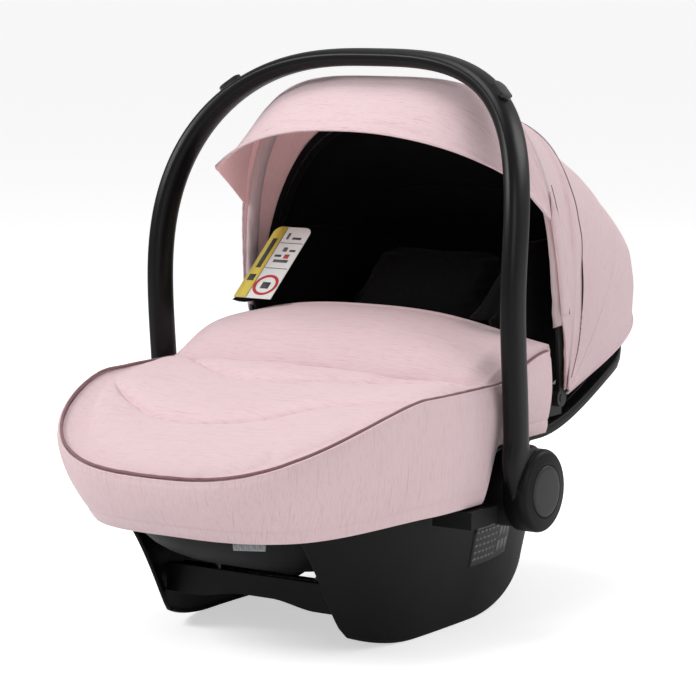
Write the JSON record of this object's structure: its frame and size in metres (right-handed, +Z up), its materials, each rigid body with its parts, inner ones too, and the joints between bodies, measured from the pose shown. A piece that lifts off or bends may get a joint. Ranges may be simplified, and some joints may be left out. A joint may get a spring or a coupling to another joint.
{
  "type": "infant car seat",
  "caption": "Rear-facing infant carrier with rocker base, swinging carry handle, folding hood, harness and quilted foot cover",
  "frame": {"origin": "on the floor, at the middle of the overall length and width", "axes": "+Z up, -Y towards the foot end, +X to the seat's left when facing its foot end"},
  "size_m": [0.4572, 0.679, 0.5702],
  "materials": {
    "shell_plastic": "fine moulded grain",
    "handle_plastic": "satin black, smooth",
    "badge_plastic": "satin dark grey disc",
    "button_plastic": "smooth black",
    "red_plastic": "smooth red",
    "steel": "zinc plated",
    "bow_plastic": "plain black",
    "pink_fabric": "pale pink melange weave",
    "piping": "dark rose corded piping",
    "foam": "expanded foam beads",
    "black_fabric": "black knit",
    "webbing": "woven polyester webbing",
    "grey_webbing": "woven polyester webbing",
    "label_paper": "printed film"
  },
  "bodies": {
    "seat": {"bucket_shell": "shell_plastic", "rocker_base": "shell_plastic", "front_cross_wall": "shell_plastic", "rear_cross_wall": "shell_plastic", "base_screws": "steel", "pivot_boss_left": "shell_plastic", "pivot_boss_right": "shell_plastic", "adapter_socket_left": "shell_plastic", "adapter_socket_right": "shell_plastic", "ratchet_ring_left": "steel", "ratchet_ring_right": "steel", "latch_bar_front": "steel", "latch_bar_rear": "steel", "belt_hook_rear": "shell_plastic", "data_label": "label_paper", "pivot_bolt_left": "steel", "pivot_bolt_right": "steel", "canopy_pivot_left": "shell_plastic", "canopy_pivot_right": "shell_plastic", "foam_liner": "foam", "seat_liner": "black_fabric", "headrest": "black_fabric", "head_cushion": "black_fabric", "seat_insert": "black_fabric", "shoulder_strap_left": "webbing", "shoulder_strap_right": "webbing", "shoulder_pad_left": "black_fabric", "shoulder_pad_right": "black_fabric", "crotch_strap": "webbing", "crotch_pad": "black_fabric", "buckle_body": "button_plastic", "buckle_tongue_left": "steel", "buckle_tongue_right": "steel", "yoke_plate": "steel", "adjuster_housing": "button_plastic", "adjuster_strap": "grey_webbing", "boot_top": "pink_fabric", "boot_skirt": "pink_fabric", "chest_flap": "pink_fabric", "boot_piping": "piping", "warning_tag": "label_paper"},
    "handle": {"handle_outer": "handle_plastic", "handle_inner": "handle_plastic", "hub_cover_left": "handle_plastic", "hub_cover_right": "handle_plastic", "hub_badge_left": "badge_plastic", "hub_badge_right": "badge_plastic", "lock_spring_left": "steel", "lock_spring_right": "steel"},
    "lock_left": {"lock_slider_left": "steel"},
    "lock_right": {"lock_slider_right": "steel"},
    "release_left": {"release_button_left": "button_plastic"},
    "release_right": {"release_button_right": "button_plastic"},
    "canopy_mid": {"mid_bow": "bow_plastic", "canopy_rear_panel": "pink_fabric"},
    "canopy_front": {"front_bow": "bow_plastic", "canopy_front_panel": "pink_fabric", "visor": "pink_fabric"},
    "buckle_release": {"buckle_button": "red_plastic"},
    "adjuster_release": {"adjuster_button": "button_plastic"}
  },
  "joints": [
    {"name": "handle_swing", "type": "hinge", "parent": "seat", "child": "handle", "pos_m": [0, 0, 0.145], "axis": [-1, 0, 0], "range_deg": [0, 100]},
    {"name": "release_left_press", "type": "slide", "parent": "handle", "child": "release_left", "axis": [0.6307, 0, -0.776], "range_m": [0, 0.004], "stiffness_N_per_m": 700, "springref_m": -0.002},
    {"name": "release_right_press", "type": "slide", "parent": "handle", "child": "release_right", "axis": [-0.6307, 0, -0.776], "range_m": [0, 0.004], "stiffness_N_per_m": 700, "springref_m": -0.002},
    {"name": "lock_left_slide", "type": "slide", "parent": "handle", "child": "lock_left", "axis": [0, -0.5878, 0.809], "range_m": [0, 0.006], "stiffness_N_per_m": 600, "springref_m": -0.002, "deforming": ["lock_spring_left"]},
    {"name": "lock_right_slide", "type": "slide", "parent": "handle", "child": "lock_right", "axis": [0, -0.5878, 0.809], "range_m": [0, 0.006], "stiffness_N_per_m": 600, "springref_m": -0.002, "deforming": ["lock_spring_right"]},
    {"name": "canopy_fold", "type": "hinge", "parent": "seat", "child": "canopy_mid", "pos_m": [0, 0.095, 0.222], "axis": [-1, 0, 0], "range_deg": [0, 62], "deforming": ["canopy_rear_panel"]},
    {"name": "canopy_front_fold", "type": "hinge", "parent": "canopy_mid", "child": "canopy_front", "pos_m": [0, 0.095, 0.222], "axis": [-1, 0, 0], "range_deg": [0, 11.16], "deforming": ["canopy_front_panel"]},
    {"name": "buckle_press", "type": "slide", "parent": "seat", "child": "buckle_release", "axis": [0, 0.4695, -0.8829], "range_m": [0, 0.003], "stiffness_N_per_m": 1200, "springref_m": -0.002},
    {"name": "adjuster_press", "type": "slide", "parent": "seat", "child": "adjuster_release", "axis": [0, 0, -1], "range_m": [0, 0.0025], "stiffness_N_per_m": 1000, "springref_m": -0.002}
  ],
  "couplings": [
    {"joint": "lock_left_slide", "follows": "release_left_press", "ratio": 1.5},
    {"joint": "lock_right_slide", "follows": "release_right_press", "ratio": 1.5},
    {"joint": "canopy_front_fold", "follows": "canopy_fold", "ratio": 0.18}
  ]
}
